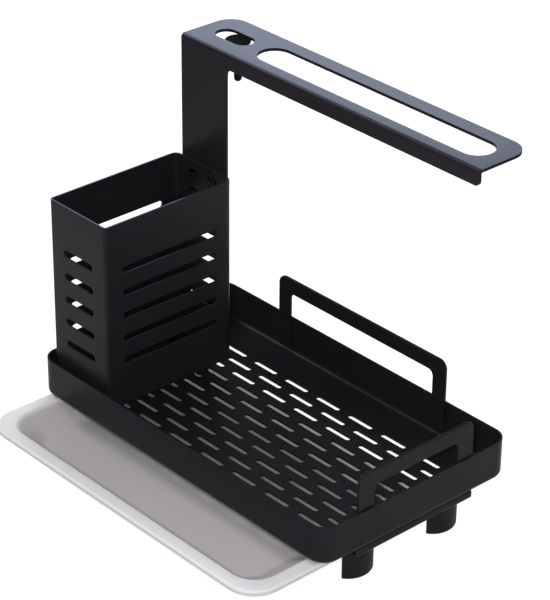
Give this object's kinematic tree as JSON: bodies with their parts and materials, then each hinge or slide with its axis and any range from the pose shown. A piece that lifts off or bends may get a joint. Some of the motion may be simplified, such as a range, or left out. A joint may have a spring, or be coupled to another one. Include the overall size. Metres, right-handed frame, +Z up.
{
  "type": "sponge holder",
  "caption": "Sink caddy: slotted tray with guard rails on D-shaped feet, tall slotted brush box, plate arm for a towel, and a drip tray that slides out to the front.",
  "frame": {"origin": "on the counter, in the middle of the footprint of the whole holder with the drip tray pulled out as in the picture", "axes": "+X along the tray, away from the brush box; +Y to the back; +Z up"},
  "size_m": [0.2648, 0.1988, 0.2448],
  "materials": {
    "coated_steel": "satin black powder coat",
    "foot_rubber": "smooth moulded black rubber",
    "drip_plastic": "satin moulded pale grey plastic",
    "spacer_plastic": "plain black moulded plastic",
    "screw_steel": "zinc-plated steel with a black passivate"
  },
  "bodies": {
    "holder": {"slotted_tray": "coated_steel", "brush_box": "coated_steel", "brush_box_pan": "coated_steel", "towel_arm": "coated_steel", "back_rail": "coated_steel", "end_rail": "coated_steel", "runner_right": "coated_steel", "runner_left": "coated_steel", "foot_front_right": "foot_rubber", "foot_back_right": "foot_rubber", "foot_front_left": "foot_rubber", "foot_back_left": "foot_rubber", "box_spacers": "spacer_plastic", "hanging_peg": "spacer_plastic", "box_screws": "screw_steel", "box_nuts": "screw_steel", "arm_screws": "screw_steel", "arm_nuts": "screw_steel"},
    "drip_tray": {"drip_tray": "drip_plastic"}
  },
  "joints": [
    {"name": "drip_tray_slide", "type": "slide", "parent": "holder", "child": "drip_tray", "axis": [0, 1, 0], "range_m": [-0.052, 0.0478]}
  ]
}
